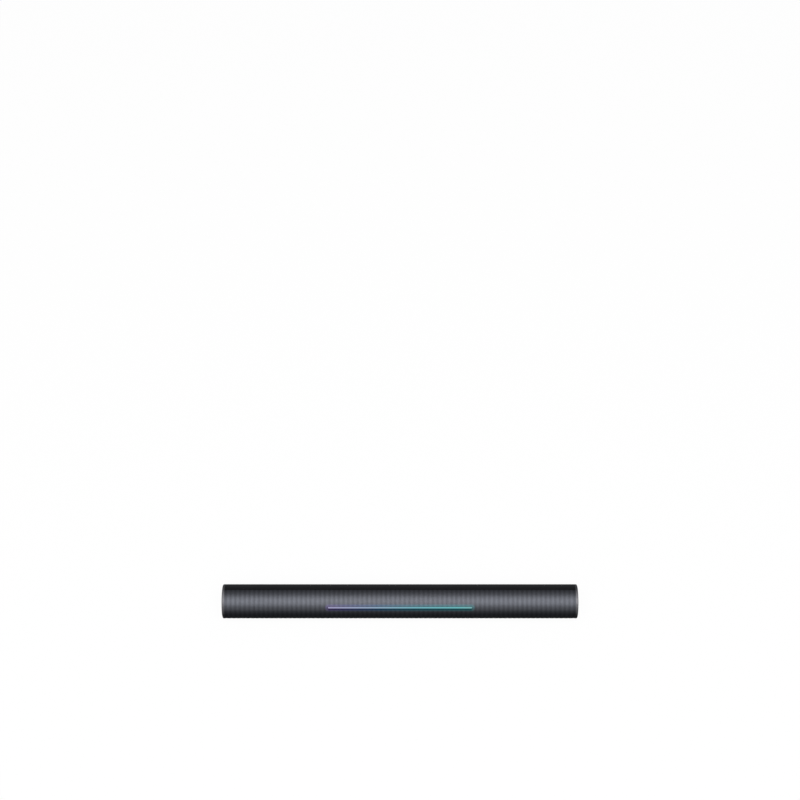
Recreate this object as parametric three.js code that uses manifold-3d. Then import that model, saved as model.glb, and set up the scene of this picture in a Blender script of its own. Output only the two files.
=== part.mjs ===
// A speaker and light bar that lies on four rubber feet: a round bar with a ribbed
// acoustic grille over its front and top, a smooth rear housing, bright end rims, a touch light
// strip, and a speaker at each side. Millimetres, X along the bar, the front faces -Y, +Z is up,
// and the origin is under the middle of the bar on the surface that it stands on.
import * as THREE from "three";
import { mergeVertices } from "three/addons/utils/BufferGeometryUtils.js";
import Module from "manifold-3d";

const wasm = await Module();
wasm.setup();

// Driving sizes of the whole bar
const barLength = 438;
const barRadius = 21;
const flatHalfWidth = 13; // half the width of the flat underside
const seatGap = 0.3; // gap between pieces that seat on each other
const layerGap = 0.25; // gap between the thin layers of a speaker or of the light strip

// Outer shells. Angles go round the bar from the front (0) over the top (90) to the back (180).
const topSeamAngle = 106;
const lowSeamAngle = -45; // the rear housing ends at the same height behind
const seamAngle = 1; // open seam between grille and rear housing
const ribPitch = 5.78;
const ribHeight = 0.3;
const plainEdge = 1.6; // least smooth edge of the grille at each end
const grilleWall = 0.8;
const housingWall = 1.8;
const frameWall = 1.25;
const frameEndSetback = 7; // the inner frame stops short of the shells, for the caps' plugs
const frameSeamSetback = 3; // degrees that the inner frame stays inside the grille's edges

// Base cover and feet
const coverThickness = 2.6;
const coverLip = 1.3; // thickness of the cover's edge that shows
const coverSpigotHalfWidth = 13;
const footHeight = 1.6; // rubber that shows under the flat
const footLength = 44;
const footWidth = 18;
const footCorner = 4;
const footRecess = 0.8;
const outerFootInset = 62; // from the end of the shells to the middle of a foot
const innerFootPlace = 30;

// Ends
const rimWidth = 2.8; // along the bar
const rimDepth = 2.4; // from the outside inwards
const rimRound = 0.8;
const capRecess = 0.7; // the end face lies this far inside the rim
const capPlate = 2.6;
const plugLength = 5.6;
const plugWall = 1.6;

// Light strip
const stripAngle = 42;
const stripLength = 177;
const stripHeight = 2;
const bezelWall = 0.35;
const bezelClearance = 0.15;
const lensFace = barRadius - 0.1; // the lens is flush with the ribs
const lensDepth = 2.35;
const guideDepth = 1.4;
const flangeHalfWidth = 4.2;
const flangeThickness = 1.2;
const flangeTop = 17.5; // distance from the bar's axis
const stripBoardThickness = 1;
const stripBoardHalfWidth = 3.8;
const stripBoardOverhang = 4; // beyond each end of the strip
const ledCount = 18;
const ledSize = 1.6;
const ledHeight = 0.6;
const sensorThickness = 0.25;
const sensorAngles = [58, 72];
const sensorLength = 173;

// Speaker modules
const speakerAngle = 50;
const boxLength = 102;
const boxEndSpace = 14; // from the end of the shells to the box
const boxRadius = 17.9;
const boxWall = 1.4;
const boxEndWall = 1.6;
const boxRimHeight = 6.6; // the open side's distance from the bar's axis
const baffleThickness = 2;
const gasketThickness = 0.5;
const flangePlate = 1;
const coneStraight = 12; // half the straight length of the oval driver
const flangeRadius = 13.4;
const bowlRadius = 11.2;
const coneRadius = 8.3;
const surroundRadius = 11.9;
const surroundClearance = 0.3;
const rollHeight = 1.2;
const filmThickness = 0.45;
const coilRadius = 5.25;
const coilWall = 0.3;
const coilClearance = 0.4;
const coneTravel = 1.5; // each way from rest
const yokeRadius = 8;
const yokeDepth = 7.3;
const yokeFloor = 1.8;
const topPlate = 1.5;
const coneDepth = 6.6; // from the cone's rim down to its neck
const coneRise = 0.6; // the cone's rim stands above the basket's flange
const coneFilm = 0.55;
const dustCapRise = 2.2; // above the cone's neck
const dustCapFilm = 0.6;
const coilReach = 0.2; // the coil stays this far past the top plate at its outer limit
const poleStep = 0.4; // the magnet is narrower than the pole plate on it
const boreStep = 0.9; // the yoke's bore is wider below its top plate
const yokeTop = 0.3; // above the bar's axis, along the driver's axis
const basketWall = 0.9;
const basketThroat = 0.8; // clearance of the basket's floor round the coil
const ledgeHeight = 1.1; // the spider's seat, above the basket's floor
const ledgeWidth = 1.2; // the seat reaches this far past the yoke
const floorWidth = 1.8; // the basket's floor reaches this far past the yoke
const ventPlaces = [2.5, 9.5]; // both ends of a vent, from the basket's middle
const ventMargin = 2; // from a vent to the spider's seat and to the flange
const gasketInset = 0.2; // inside the basket's flange
const surroundLip = 1; // the edge that is glued to the basket
const spiderLip = 0.9; // past the yoke
const spiderWave = 0.5;
const spiderFilm = 0.35;

// Inner plates, boards and the bracket with the pad at the back
const plateEndSpace = 4; // from the plate's end to a speaker box
const plateHalfWidth = 11.5;
const plateThickness = 3;
const plateCorner = 3;
const standoffHeight = 4.3;
const standoffRadius = 2;
const boardThickness = 1.6;
const boardHalfWidth = 9.5;
const boardStart = 24;
const boardEndInset = 5; // from the plate's end
const standoffInset = 6; // from a board's end
const standoffRow = 6; // from the board's middle line
const bracketWidth = 34;
const bracketTop = 4; // above the bar's axis
const bracketBottom = -12;
const bracketWall = 6;
const bracketFoot = 3.5;
const bracketFootFront = -9;
const columnHoleRadius = 1.65; // for M4 threads
const columnHolePlace = 11.5;
const connectorWidth = 13.6;
const connectorHeight = 6.6;
const connectorSetback = 0.3;
const connectorMiddle = -4; // above the bar's axis
const connectorOverhang = 1; // in front of the bracket's wall
const contactPin = { count: 6, pitch: 2, width: 1.2, inset: 1.2, length: 2, proud: 0.4 };

// Screws
const coverScrew = { head: 2.4, headHeight: 1.4, shank: 1.2, length: 7 };
const baffleScrew = { head: 1.7, headHeight: 1, shank: 0.9, length: 6 };
const bracketScrew = { head: 3, headHeight: 2, shank: 1.5, length: 6 };
const screwClearance = 0.3;
const driveDepth = 0.6; // hexagon recess in a screw's head
const boxScrewInset = 7; // from a speaker box's ends to its cover screws
const plateScrewInset = 12; // from the steel plate's end
const bossWall = 1.3;
const baffleScrewInset = 5; // from the baffle's ends
const baffleScrewRow = 12.6; // from the baffle's middle line
const bracketScrewPlaces = [10, -4]; // along the bar and front to back

// Leads to the speakers and the contact block, and the flat cable of the light board
const leadRadius = 0.8;
const leadHoleRadius = 1.3;
const leadEntry = { y: 2, z: -2.5 }; // where a lead goes through the box's end wall
const leadSocket = { length: 11, width: 6, height: 3.2 };
const contactLeadRow = 2; // its distance behind the boards' middle line
const cable = { width: 8, thickness: 0.3, straight: 3 };
const cableSocket = { start: 6, row: -7.6, depth: 2.8, height: 1.8 }; // start from the inner end

// What follows from the driving sizes. Heights are from the bar's axis.
const flatDrop = Math.sqrt(barRadius ** 2 - flatHalfWidth ** 2);
const axisHeight = flatDrop + footHeight;
const shellEnd = barLength / 2 - rimWidth - seatGap;
const grilleInner = barRadius - ribHeight - grilleWall;
const housingInner = barRadius - housingWall;
const frameOuter = grilleInner - seatGap;
const frameInner = frameOuter - frameWall;
const frameEnd = shellEnd - frameEndSetback;
const coverTop = -flatDrop + coverThickness;
const innerFloor = coverTop + seatGap;
const boxFloor = innerFloor + boxWall;
const far = 4 * barRadius; // reaches past everything

// Places along the bar, from its middle
const boxEnd = shellEnd - boxEndSpace;
const boxStart = boxEnd - boxLength;
const speakerPlace = (boxStart + boxEnd) / 2;
const plateHalfLength = boxStart - plateEndSpace;
const boardEnd = plateHalfLength - boardEndInset;
const bothSides = (places) => places.flatMap((x) => [-x, x]).sort((a, b) => a - b);
const footPlaces = bothSides([innerFootPlace, shellEnd - outerFootInset]);
const coverScrewPlaces = bothSides([
  plateHalfLength - plateScrewInset,
  boxStart + boxScrewInset,
  boxEnd - boxScrewInset,
]);

const COLOURS = {
  grille: [0x43444b, 0.5, 0.6],
  housing: [0x222326, 0.45, 0.3],
  rim: [0x8d8e99, 0.3, 0.9],
  cap: [0x2a2b2f, 0.4, 0.5],
  rubber: [0x161617, 0.9, 0],
  lens: [0xa9dfe6, 0.3, 0],
  clear: [0xdfe8ec, 0.1, 0],
  board: [0x15301f, 0.6, 0],
  film: [0xb07a28, 0.5, 0.2],
  plastic: [0x1c1c1e, 0.6, 0],
  steel: [0x9a9da1, 0.35, 1],
  cone: [0x2c2d31, 0.7, 0],
  foam: [0x111111, 1, 0],
  contact: [0x25262a, 0.4, 0.4],
  lead: [0x7c1f1f, 0.6, 0],
};

// A surface's triangles without the ones that have no area because two corners are the same
function withoutSlivers(geometry) {
  const bare = geometry.clone();
  bare.deleteAttribute("normal");
  bare.deleteAttribute("uv");
  const merged = mergeVertices(bare, 1e-4);
  const kept = [];
  for (let i = 0; i < merged.index.count; i += 3) {
    const [a, b, c] = [0, 1, 2].map((k) => merged.index.getX(i + k));
    if (a !== b && b !== c && c !== a) kept.push(a, b, c);
  }
  merged.setIndex(kept);
  return merged;
}

function toSolid(geometry) {
  const clean = withoutSlivers(geometry);
  return new wasm.Manifold(
    new wasm.Mesh({
      numProp: 3,
      vertProperties: clean.attributes.position.array,
      triVerts: new Uint32Array(clean.index.array),
    }),
  );
}

function toGeometry(solid) {
  const mesh = solid.getMesh();
  const geometry = new THREE.BufferGeometry();
  geometry.setAttribute("position", new THREE.BufferAttribute(mesh.vertProperties, 3));
  geometry.setIndex(new THREE.BufferAttribute(mesh.triVerts, 1));
  geometry.computeVertexNormals();
  return geometry;
}

function cut(geometry, ...tools) {
  return toGeometry(tools.reduce((left, tool) => left.subtract(toSolid(tool)), toSolid(geometry)));
}

function join(geometry, ...others) {
  return toGeometry(others.reduce((all, other) => all.add(toSolid(other)), toSolid(geometry)));
}

const radians = THREE.MathUtils.degToRad;

// A flat outline drawn out along Z. An arc takes twice the curve segments that three.js is told.
function upright(shape, from, to, arcSteps = 8) {
  const options = { depth: to - from, bevelEnabled: false, curveSegments: arcSteps / 2 };
  return new THREE.ExtrudeGeometry(shape, options).translate(0, 0, from);
}

// A flat outline in the bar's cross-section (first axis to the back, second up) drawn out along X
function alongBar(shape, from, to, arcSteps = 14) {
  const geometry = upright(shape, 0, to - from, arcSteps);
  const turn = new THREE.Matrix4().makeBasis(
    new THREE.Vector3(0, 1, 0),
    new THREE.Vector3(0, 0, 1),
    new THREE.Vector3(1, 0, 0),
  );
  return geometry.applyMatrix4(turn).translate(from, 0, 0);
}

function block(x0, x1, y0, y1, z0, z1) {
  const box = new THREE.BoxGeometry(x1 - x0, y1 - y0, z1 - z0);
  return box.translate((x0 + x1) / 2, (y0 + y1) / 2, (z0 + z1) / 2);
}

// A round post along Z
function post(radius, x, y, from, to, segments = 8) {
  const cylinder = new THREE.CylinderGeometry(radius, radius, to - from, segments);
  return cylinder.rotateX(Math.PI / 2).translate(x, y, (from + to) / 2);
}

const circle = (radius) => new THREE.Shape().absarc(0, 0, radius, 0, 2 * Math.PI, false);

// A round bar along X
function roundBar(radius, from, to, segments = 28) {
  return alongBar(circle(radius), from, to, segments);
}

function polygon(points) {
  return new THREE.Shape(points.map(([x, y]) => new THREE.Vector2(x, y)));
}

// An outline with straight sides and round ends, centred on the origin
function ovalShape(length, width) {
  const half = length / 2 - width / 2;
  const shape = new THREE.Shape();
  shape.absarc(half, 0, width / 2, -Math.PI / 2, Math.PI / 2, false);
  shape.absarc(-half, 0, width / 2, Math.PI / 2, (3 * Math.PI) / 2, false);
  return shape;
}

function roundedRectangle(length, width, corner) {
  const [x, y] = [length / 2 - corner, width / 2 - corner];
  const shape = new THREE.Shape();
  shape.absarc(x, y, corner, 0, Math.PI / 2, false);
  shape.absarc(-x, y, corner, Math.PI / 2, Math.PI, false);
  shape.absarc(-x, -y, corner, Math.PI, 1.5 * Math.PI, false);
  shape.absarc(x, -y, corner, 1.5 * Math.PI, 2 * Math.PI, false);
  return shape;
}

// A wall that bends round the bar's axis between two angles
function arcBand(outer, inner, from, to) {
  const [start, end] = [Math.PI - radians(from), Math.PI - radians(to)];
  const shape = new THREE.Shape();
  shape.absarc(0, 0, outer, start, end, true);
  shape.absarc(0, 0, inner, end, start, false);
  return shape;
}

// Turns a piece whose Z looks out of the bar so that it looks out at this angle round the bar
const tiltOf = (angle) => Math.PI / 2 - radians(angle);
const tilted = (geometry, angle) => geometry.clone().rotateX(tiltOf(angle));

// Everything past a flat plane that faces out at this angle
function beyond(angle, distance) {
  return tilted(block(-barLength, barLength, -far, far, distance, distance + 2 * far), angle);
}

// A closed surface through rings with the same number of points. The last ring joins the first,
// or with closed ends each end ring is filled from its middle.
function throughRings(rings, fillEnds = false) {
  const size = rings[0].length;
  const corners = rings.flat().flatMap((p) => [p.x, p.y, p.z]);
  const index = [];
  const last = fillEnds ? rings.length - 1 : rings.length;
  for (let i = 0; i < last; i++) {
    const [here, next] = [i * size, ((i + 1) % rings.length) * size];
    for (let k = 0; k < size; k++) {
      const n = (k + 1) % size;
      index.push(here + k, here + n, next + n, here + k, next + n, next + k);
    }
  }
  if (fillEnds) {
    for (const [ring, first, flip] of [
      [rings[0], 0, true],
      [rings[rings.length - 1], (rings.length - 1) * size, false],
    ]) {
      const middle = ring.reduce((sum, p) => sum.add(p), new THREE.Vector3()).divideScalar(size);
      const centre = corners.length / 3;
      corners.push(middle.x, middle.y, middle.z);
      for (let k = 0; k < size; k++) {
        const [a, b] = [first + k, first + ((k + 1) % size)];
        index.push(centre, flip ? b : a, flip ? a : b);
      }
    }
  }
  const geometry = new THREE.BufferGeometry();
  geometry.setAttribute("position", new THREE.Float32BufferAttribute(corners, 3));
  geometry.setIndex(index);
  return outward(withoutSlivers(geometry));
}

// The same closed surface with its faces looking out
function outward(geometry) {
  const at = geometry.attributes.position;
  const order = geometry.index.array;
  const [a, b, c] = [new THREE.Vector3(), new THREE.Vector3(), new THREE.Vector3()];
  let volume = 0;
  for (let i = 0; i < order.length; i += 3) {
    a.fromBufferAttribute(at, order[i]);
    b.fromBufferAttribute(at, order[i + 1]);
    c.fromBufferAttribute(at, order[i + 2]);
    volume += a.dot(b.cross(c));
  }
  if (volume < 0) {
    for (let i = 0; i < order.length; i += 3) {
      [order[i + 1], order[i + 2]] = [order[i + 2], order[i + 1]];
    }
  }
  geometry.computeVertexNormals();
  return geometry;
}

// An oval turned form: each profile point is [radius, half the straight length, height]
function ovalTurned(profile, steps = 6) {
  const rings = profile.map(([radius, straight, height]) => {
    const ring = [];
    for (const side of [1, -1]) {
      for (let k = 0; k <= steps; k++) {
        const turn = Math.PI * (k / steps - 0.5) + (side < 0 ? Math.PI : 0);
        const x = radius * Math.cos(turn) + side * straight;
        ring.push(new THREE.Vector3(x, radius * Math.sin(turn), height));
      }
    }
    return ring;
  });
  return throughRings(rings, profile[0][0] === 0);
}

// A round turned form: each profile point is [radius, height], and the profile closes on itself
// or starts and ends on the axis
function turned(profile, segments = 12) {
  const points = profile.map(([radius, height]) => new THREE.Vector2(radius, height));
  if (profile[0][0] > 0) points.push(points[0].clone());
  const lathe = new THREE.LatheGeometry(points, segments);
  return outward(withoutSlivers(lathe.rotateX(Math.PI / 2)));
}

const root = new THREE.Group();
const bar = new THREE.Group();
bar.position.z = axisHeight;
root.add(bar);

function add(parent, name, geometry, finish) {
  const [color, roughness, metalness] = COLOURS[finish];
  const material = new THREE.MeshStandardMaterial({ color, roughness, metalness });
  const mesh = new THREE.Mesh(geometry, material);
  mesh.name = name;
  parent.add(mesh);
  return mesh;
}

// A group whose Z looks out of the bar at an angle
function lookingOut(angle, x = 0) {
  const group = new THREE.Group();
  group.rotation.x = tiltOf(angle);
  group.position.x = x;
  bar.add(group);
  return group;
}

// A cap screw whose head's seat is at height 0, with its shank going down
function screwBody({ head, headHeight, shank, length }) {
  const profile = [[0, headHeight], [head, headHeight], [head, 0], [shank, 0]];
  return turned([...profile, [shank, -length], [0, -length]], 8);
}

// The same screw with a hexagon recess, where its head shows
function socketScrew(size) {
  const { head, headHeight } = size;
  const drive = new THREE.CylinderGeometry(head / 2, head / 2, 2 * driveDepth, 6);
  return cut(screwBody(size), drive.rotateX(Math.PI / 2).translate(0, 0, headHeight));
}

// Front grille: hoop ribs all along the bar, over a thin wall
function ribbedGrille() {
  const valley = barRadius - ribHeight;
  const ribCount = Math.floor((2 * (shellEnd - plainEdge)) / ribPitch);
  const stations = [[-shellEnd, valley]];
  for (let i = 0; i <= 2 * ribCount; i++) {
    const x = (i - ribCount) * (ribPitch / 2);
    stations.push([x, i % 2 ? barRadius : valley]);
  }
  stations.push([shellEnd, valley]);
  const arcSteps = 8;
  const [from, to] = [lowSeamAngle, topSeamAngle];
  const rings = stations.map(([x, radius]) => {
    const ring = [new THREE.Vector3(x, 0, 0)];
    for (let k = 0; k <= arcSteps; k++) {
      const angle = radians(from + ((to - from) * k) / arcSteps);
      ring.push(new THREE.Vector3(x, -radius * Math.cos(angle), radius * Math.sin(angle)));
    }
    return ring;
  });
  const slot = ovalShape(bezelLength + 2 * bezelClearance, bezelHeight + 2 * bezelClearance);
  return cut(
    throughRings(rings, true),
    roundBar(grilleInner, -barLength, barLength),
    tilted(upright(slot, 0, far), stripAngle),
  );
}

const bezelOpening = stripHeight + 2 * bezelClearance;
const bezelHeight = bezelOpening + 2 * bezelWall;
const bezelLength = stripLength + 2 * (bezelClearance + bezelWall);

// Rear housing: a smooth shell with a window for the bracket's pad
function rearHousing() {
  const shell = arcBand(barRadius, housingInner, topSeamAngle + seamAngle, 180 - lowSeamAngle);
  const half = bracketWidth / 2 + seatGap;
  return cut(
    alongBar(shell, -shellEnd, shellEnd),
    block(-half, half, 0, far, bracketBottom - seatGap, bracketTop + seatGap),
  );
}

// Base cover: a stepped plate whose edge closes the shells, with recesses and counterbores
function baseCover() {
  const step = -flatDrop + coverLip;
  const lipHalfWidth = Math.sqrt(barRadius ** 2 - step ** 2);
  const side = [
    [flatHalfWidth, -flatDrop],
    [lipHalfWidth, step],
    [coverSpigotHalfWidth, step],
    [coverSpigotHalfWidth, coverTop],
  ];
  const mirrored = side.map(([y, z]) => [-y, z]).reverse();
  const plate = alongBar(polygon([...side, ...mirrored]), -shellEnd, shellEnd);
  const recess = roundedRectangle(footLength + seatGap, footWidth + seatGap, footCorner);
  const tools = footPlaces.map((x) =>
    upright(recess, -far, -flatDrop + footRecess, 4).translate(x, 0, 0),
  );
  const { head, headHeight, shank } = coverScrew;
  for (const x of coverScrewPlaces) {
    tools.push(post(shank + screwClearance, x, 0, -far, far));
    tools.push(post(head + screwClearance, x, 0, -far, -flatDrop + headHeight));
  }
  return cut(plate, ...tools);
}

function foot() {
  const outline = roundedRectangle(footLength - seatGap, footWidth - seatGap, footCorner);
  return upright(outline, -flatDrop - footHeight, -flatDrop + footRecess - seatGap, 4);
}

// The bar's outline with its flat underside, drawn in by an inset. It has corners exactly at the
// back, the top and the front, so that they reach the bar's full size.
function barOutline(x, inset) {
  const radius = barRadius - inset;
  const corner = Math.asin((flatDrop - inset) / radius);
  const [lowSteps, highSteps] = [4, 16];
  const turns = [];
  for (let k = 0; k < lowSteps; k++) turns.push((corner * k) / lowSteps - corner);
  for (let k = 0; k <= highSteps; k++) turns.push((Math.PI * k) / highSteps);
  for (let k = 1; k <= lowSteps; k++) turns.push(Math.PI + (corner * k) / lowSteps);
  return turns.map((turn) => {
    return new THREE.Vector3(x, radius * Math.cos(turn), radius * Math.sin(turn));
  });
}

// End pieces are made for the right end, and the left end has them turned round
function endRim() {
  const [inside, outside] = [shellEnd + seatGap, barLength / 2];
  const rings = [barOutline(inside, 0), barOutline(outside - rimRound, 0)];
  for (const turn of [45, 90]) {
    const along = rimRound * (1 - Math.sin(radians(turn)));
    rings.push(barOutline(outside - along, rimRound * (1 - Math.cos(radians(turn)))));
  }
  rings.push(barOutline(outside, rimDepth), barOutline(inside, rimDepth));
  return throughRings(rings);
}

function endCap() {
  const face = barLength / 2 - capRecess;
  const inset = rimDepth + seatGap;
  const plate = throughRings([barOutline(face - capPlate, inset), barOutline(face, inset)], true);
  const plugEnd = shellEnd - plugLength;
  const plugRadius = housingInner - seatGap;
  const outer = cut(roundBar(plugRadius, plugEnd, shellEnd), beyond(-90, -innerFloor));
  const hollow = cut(
    roundBar(plugRadius - plugWall, plugEnd - far, face - capPlate),
    beyond(-90, -innerFloor - plugWall),
  );
  return join(cut(outer, hollow), plate);
}

// Inner frame: it backs the grille, with a window before each driver and a slot for the strip
function frontFrame() {
  const band = arcBand(
    frameOuter,
    frameInner,
    lowSeamAngle + frameSeamSetback,
    topSeamAngle - frameSeamSetback,
  );
  const window = ovalShape(2 * (coneStraight + bowlRadius), 2 * bowlRadius);
  const windows = [-1, 1].map((side) =>
    tilted(upright(window, 0, far).translate(side * speakerPlace, 0, 0), speakerAngle),
  );
  const slot = ovalShape(bezelLength + 2 * seatGap, bezelHeight + 2 * seatGap);
  return cut(
    alongBar(band, -frameEnd, frameEnd, 12),
    ...windows,
    tilted(upright(slot, 0, far), stripAngle),
  );
}

// Light strip: bezel, lens, light guide and light board lie on each other, looking out
const lensBottom = lensFace - lensDepth;
const guideTop = lensBottom - layerGap;
const guideBottom = guideTop - guideDepth;
const stripBoardTop = flangeTop - flangeThickness - layerGap;

function stripBezel() {
  const wall = ovalShape(bezelLength, bezelHeight);
  const opening = ovalShape(stripLength + 2 * bezelClearance, bezelOpening);
  const flangeLength = bezelLength + 2 * (flangeHalfWidth - bezelHeight / 2);
  const flange = ovalShape(flangeLength, 2 * flangeHalfWidth);
  return cut(
    join(
      upright(wall, flangeTop - flangeThickness / 2, lensFace - bezelClearance),
      upright(flange, flangeTop - flangeThickness, flangeTop),
    ),
    upright(opening, 0, far),
  );
}

function lightBoard() {
  const half = stripLength / 2 + stripBoardOverhang;
  const base = stripBoardTop - stripBoardThickness;
  const board = block(-half, half, -stripBoardHalfWidth, stripBoardHalfWidth, base, stripBoardTop);
  const lights = [];
  for (let i = 0; i < ledCount; i++) {
    const x = ((i + 0.5) / ledCount - 0.5) * stripLength;
    const [h, top] = [ledSize / 2, stripBoardTop + ledHeight];
    lights.push(block(x - h, x + h, -h, h, stripBoardTop - stripBoardThickness / 2, top));
  }
  return join(board, ...lights);
}

function addLightStrip() {
  const strip = lookingOut(stripAngle);
  const outline = ovalShape(stripLength, stripHeight);
  add(strip, "strip_bezel", stripBezel(), "plastic");
  add(strip, "strip_lens", upright(outline, lensBottom, lensFace), "lens");
  add(strip, "light_guide", upright(outline, guideBottom, guideTop), "clear");
  add(strip, "light_board", lightBoard(), "board");
  const outer = frameInner - seatGap;
  const film = arcBand(outer, outer - sensorThickness, ...sensorAngles);
  add(bar, "touch_sensor", alongBar(film, -sensorLength / 2, sensorLength / 2, 4), "film");
}

// Speaker box: a tub with a flat open side that looks out, and bosses for screws
const baffleBottom = boxRimHeight + layerGap;
const baffleTop = baffleBottom + baffleThickness;
const gasketBottom = baffleTop + layerGap;
const flangeBottom = gasketBottom + gasketThickness + layerGap;
const flangeTopHeight = flangeBottom + flangePlate;
const baffleScrewTip = baffleTop + layerGap - baffleScrew.length;
const coverScrewSeat = -flatDrop + coverScrew.headHeight - seatGap;
const coverScrewTip = coverScrewSeat + coverScrew.length;

function speakerBox(side) {
  const [x0, x1] = side < 0 ? [-boxEnd, -boxStart] : [boxStart, boxEnd];
  const outer = cut(
    roundBar(boxRadius, x0, x1),
    beyond(speakerAngle, boxRimHeight),
    beyond(-90, -innerFloor),
  );
  const bosses = [];
  const bores = [];
  for (const x of coverScrewPlaces.filter((place) => place > x0 && place < x1)) {
    const { shank } = coverScrew;
    const top = coverScrewTip + seatGap;
    bosses.push(post(shank + bossWall, x, 0, -far, top + bossWall, 6));
    bores.push(post(shank + screwClearance, x, 0, -far, top, 6));
  }
  for (const [along, across] of baffleScrewSpots()) {
    const { shank } = baffleScrew;
    const x = side * speakerPlace + along;
    const bottom = baffleScrewTip - seatGap;
    const [near, edge] = [Math.min(across, far * across), Math.max(across, far * across)];
    const web = block(x - bossWall / 2, x + bossWall / 2, near, edge, bottom - bossWall, far);
    const boss = post(shank + bossWall, x, across, bottom - bossWall, far, 6);
    bosses.push(tilted(boss, speakerAngle), tilted(web, speakerAngle));
    bores.push(tilted(post(shank + screwClearance, x, across, bottom, far, 6), speakerAngle));
  }
  const hollow = cut(
    roundBar(boxRadius - boxWall, x0 + boxEndWall, x1 - boxEndWall),
    beyond(-90, -boxFloor),
    ...bosses,
  );
  const leadHole = roundBar(leadHoleRadius, -2 * boxEndWall, 2 * boxEndWall, 10);
  leadHole.translate(side * boxStart, leadEntry.y, leadEntry.z);
  return cut(outer, hollow, ...bores, leadHole);
}

function baffleScrewSpots() {
  const [x, y] = [boxLength / 2 - baffleScrewInset, baffleScrewRow];
  return [[-x, -y], [-x, y], [x, -y], [x, y]];
}

function baffle(side) {
  const half = boxLength / 2;
  const x = side * speakerPlace;
  const opening = ovalShape(2 * (coneStraight + bowlRadius + seatGap), 2 * (bowlRadius + seatGap));
  const holes = baffleScrewSpots().map(([u, v]) =>
    tilted(post(baffleScrew.shank + screwClearance, x + u, v, 0, far, 6), speakerAngle),
  );
  return cut(
    roundBar(boxRadius, x - half, x + half),
    beyond(speakerAngle, baffleTop),
    beyond(speakerAngle + 180, -baffleBottom),
    tilted(upright(opening, 0, far).translate(x, 0, 0), speakerAngle),
    ...holes,
  );
}

// Driver: heights are along the driver's own axis, from the bar's axis
const basketFloor = yokeTop + layerGap;
const spiderLedge = basketFloor + ledgeHeight;
const coneRim = flangeTopHeight + coneRise;
const neckHeight = coneRim - coneDepth;

// Basket: an oval bowl from the flange down to the spider's seat, with a hole for the coil
function driverBasket() {
  const inner = bowlRadius - basketWall;
  const throat = coilRadius + basketThroat;
  const slope = coneStraight / 4; // half the straight length where the bowl meets its floor
  const shell = ovalTurned([
    [flangeRadius, coneStraight, flangeTopHeight],
    [inner, coneStraight, flangeTopHeight],
    [inner, coneStraight, flangeBottom - 0.4],
    [yokeRadius + ledgeWidth + 0.3, slope, spiderLedge + 0.7],
    [yokeRadius + ledgeWidth, 0, spiderLedge],
    [throat, 0, spiderLedge],
    [throat, 0, basketFloor],
    [yokeRadius + floorWidth, 0, basketFloor],
    [yokeRadius + floorWidth + 0.6, slope, basketFloor + basketWall],
    [bowlRadius, coneStraight, flangeBottom - 0.7],
    [bowlRadius, coneStraight, flangeBottom],
    [flangeRadius, coneStraight, flangeBottom],
  ]);
  const [low, high] = [spiderLedge + ventMargin, flangeBottom - ventMargin];
  const [near, end] = ventPlaces;
  const vents = [[-end, -near], [near, end]].map(([from, to]) =>
    block(from, to, -far, far, low, high),
  );
  return cut(shell, ...vents);
}

function driverGasket() {
  const [low, high] = [gasketBottom, gasketBottom + gasketThickness];
  const [outer, inner] = [flangeRadius - gasketInset, bowlRadius + seatGap];
  return ovalTurned([
    [outer, coneStraight, low],
    [outer, coneStraight, high],
    [inner, coneStraight, high],
    [inner, coneStraight, low],
  ]);
}

// The rubber half roll between basket and cone
function driverSurround() {
  const foot = flangeTopHeight + layerGap;
  const inner = coneRadius + surroundClearance;
  const rollOut = surroundRadius - surroundLip;
  const middle = (rollOut + inner) / 2;
  const top = foot + filmThickness;
  const profile = [
    [surroundRadius, foot],
    [surroundRadius, top],
    [rollOut, top],
    [(rollOut + middle) / 2, top + 0.75 * rollHeight],
    [middle, top + rollHeight],
    [(middle + inner) / 2, top + 0.75 * rollHeight],
    [inner, top],
    [inner, foot],
    [middle, top + rollHeight - filmThickness],
    [rollOut - filmThickness, foot],
  ];
  return ovalTurned(profile.map(([radius, height]) => [radius, coneStraight, height]));
}

// Cone, dust cap and coil former move as one piece
function driverCone() {
  const inner = coilRadius - coilWall;
  const coilEnd = yokeTop - topPlate - coneTravel - coilReach;
  const halfway = (coneRim + neckHeight) / 2;
  const middle = (coilRadius + coneRadius) / 2;
  const capTop = neckHeight + dustCapRise;
  const capUnder = capTop - dustCapFilm;
  return ovalTurned([
    [0, 0, capTop],
    [inner / 2, 0, capTop - 0.3],
    [coilRadius, 0, neckHeight + 0.7],
    [middle, coneStraight / 2, halfway + 0.3],
    [coneRadius, coneStraight, coneRim],
    [coneRadius, coneStraight, coneRim - coneFilm],
    [middle + 0.3, coneStraight / 2, halfway - coneFilm],
    [coilRadius + 0.3, 0, neckHeight - 0.1],
    [coilRadius, 0, neckHeight - 0.4],
    [coilRadius, 0, coilEnd],
    [inner, 0, coilEnd],
    [inner, 0, neckHeight + 0.2],
    [inner / 2, 0, capUnder - 0.3],
    [0, 0, capUnder],
  ]);
}

// The corrugated cloth ring that centres the coil
function driverSpider() {
  const [outer, inner] = [yokeRadius + spiderLip, coilRadius + coilClearance];
  const base = spiderLedge + layerGap;
  const rises = [0, spiderWave, 0, spiderWave];
  const wave = rises.map((rise, i) => [outer + ((inner - outer) * i) / 3, base + rise]);
  const top = wave.map(([radius, height]) => [radius, height + spiderFilm]).reverse();
  return turned([...wave, ...top]);
}

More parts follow.
